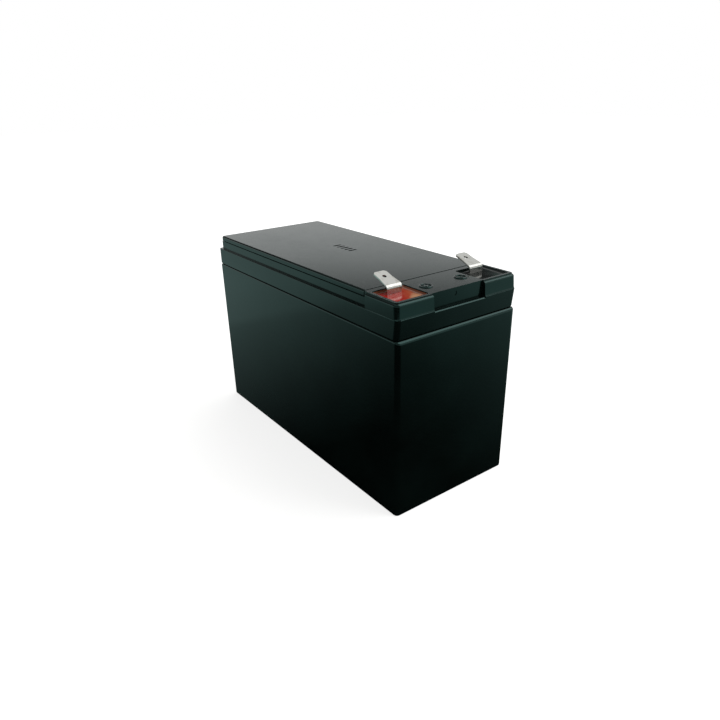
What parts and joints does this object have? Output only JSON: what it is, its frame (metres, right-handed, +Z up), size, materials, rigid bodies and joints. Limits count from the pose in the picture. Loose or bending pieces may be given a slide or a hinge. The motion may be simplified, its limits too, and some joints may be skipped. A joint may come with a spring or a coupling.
{
  "type": "battery",
  "caption": "Rectangular sealed lead-acid battery with a black moulded case and lid, a flat cover plate and two push-on tabs in pockets at one end.",
  "frame": {"origin": "centre of the base's rectangle, on the surface that the battery stands on", "axes": "+X along the length towards the terminal end, +Y across the width towards the negative terminal, +Z up"},
  "size_m": [0.151, 0.065, 0.0998],
  "materials": {
    "black_abs": "fine satin grain",
    "tinned_brass": "tinned, satin",
    "lead": "as cast",
    "positive_paste": "matt, dark brown",
    "negative_paste": "matt, grey",
    "glass_fibre": "white fibre mat",
    "rubber": "matt black",
    "red_resin": "poured, glossy",
    "black_resin": "poured, glossy"
  },
  "bodies": {
    "root": {"case": "black_abs", "cell_link_1": "lead", "cell_link_2": "lead", "cell_link_3": "lead", "cell_link_4": "lead", "cell_link_5": "lead", "cover_plate": "black_abs", "glass_mat_1": "glass_fibre", "glass_mat_2": "glass_fibre", "glass_mat_3": "glass_fibre", "glass_mat_4": "glass_fibre", "glass_mat_5": "glass_fibre", "glass_mat_6": "glass_fibre", "lid": "black_abs", "negative_plates_1": "negative_paste", "negative_plates_2": "negative_paste", "negative_plates_3": "negative_paste", "negative_plates_4": "negative_paste", "negative_plates_5": "negative_paste", "negative_plates_6": "negative_paste", "negative_post": "lead", "negative_resin": "black_resin", "negative_seal_ring": "rubber", "negative_tab": "tinned_brass", "positive_plates_1": "positive_paste", "positive_plates_2": "positive_paste", "positive_plates_3": "positive_paste", "positive_plates_4": "positive_paste", "positive_plates_5": "positive_paste", "positive_plates_6": "positive_paste", "positive_post": "lead", "positive_resin": "red_resin", "positive_seal_ring": "rubber", "positive_tab": "tinned_brass", "valve_cap_1": "rubber", "valve_cap_2": "rubber", "valve_cap_3": "rubber", "valve_cap_4": "rubber", "valve_cap_5": "rubber", "valve_cap_6": "rubber"}
  },
  "joints": []
}
